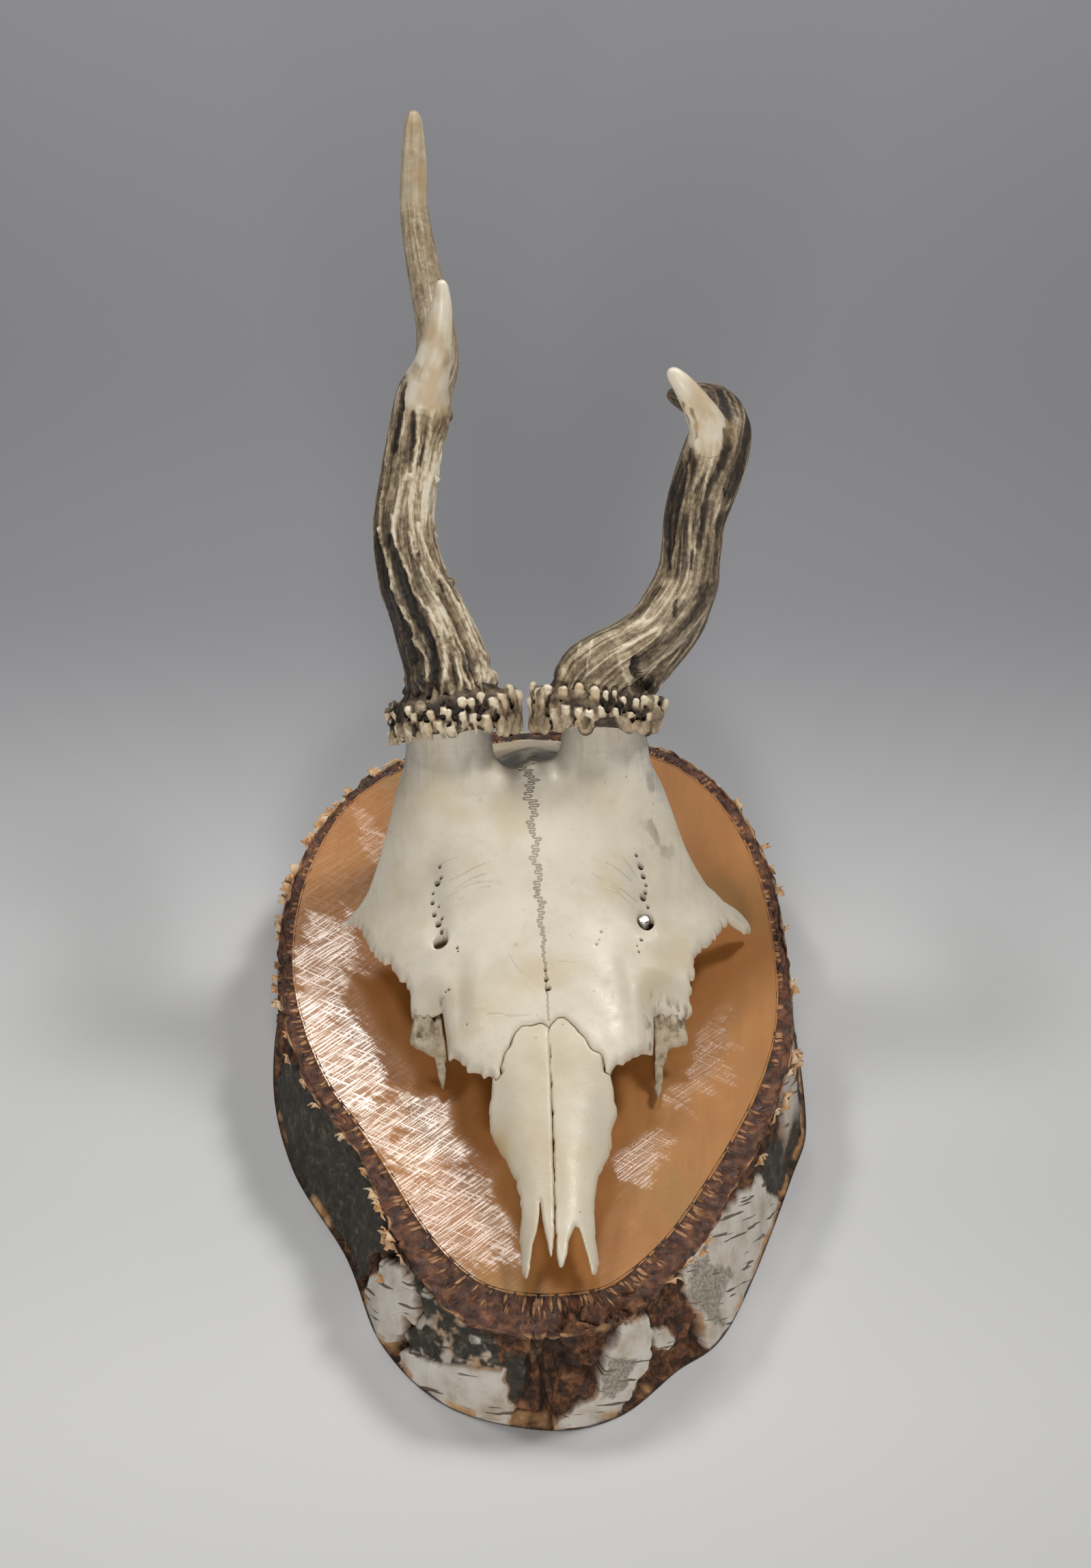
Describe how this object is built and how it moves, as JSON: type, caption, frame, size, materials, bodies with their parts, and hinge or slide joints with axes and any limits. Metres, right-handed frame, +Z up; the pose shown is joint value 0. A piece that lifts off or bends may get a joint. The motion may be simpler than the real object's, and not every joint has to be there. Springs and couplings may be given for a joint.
{
  "type": "roe deer skull trophy",
  "caption": "Roe buck skull cap with uneven pearled antlers and long nasal bones, lying on an oblique varnished birch slice that keeps its bark.",
  "frame": {"origin": "middle of the plaque's flat back, on the floor", "axes": "+Z up, away from the plaque's back; +Y from the nose to the antler tips; +X to the animal's left"},
  "size_m": [0.1144, 0.2529, 0.139],
  "materials": {
    "wood": "varnished birch, orange brown, satin with fine scratches",
    "bark": "rough birch bark, dark brown, grey and white",
    "steel": "cut steel nail, brushed",
    "bone": "bleached bone, ivory white, slight sheen",
    "lacrimal": "thin rough bone, greyish tan",
    "coronet": "pearled antler, cream pearls with dark recesses",
    "antler": "grooved antler, dark brown furrows, cream ridges, ivory tips"
  },
  "bodies": {
    "root": {"plaque_wood": "wood", "plaque_bark": "bark", "pin_steel": "steel", "frontal_right": "bone", "frontal_left": "bone", "parietal": "bone", "nasal_right": "bone", "nasal_left": "bone", "lacrimal_right": "lacrimal", "lacrimal_left": "lacrimal", "antler_right_coronet": "coronet", "antler_right_beam": "antler", "antler_right_top": "antler", "antler_right_front_tine": "antler", "antler_left_coronet": "coronet", "antler_left_beam": "antler", "antler_left_hook": "antler", "antler_left_front_tine": "antler"}
  },
  "joints": []
}
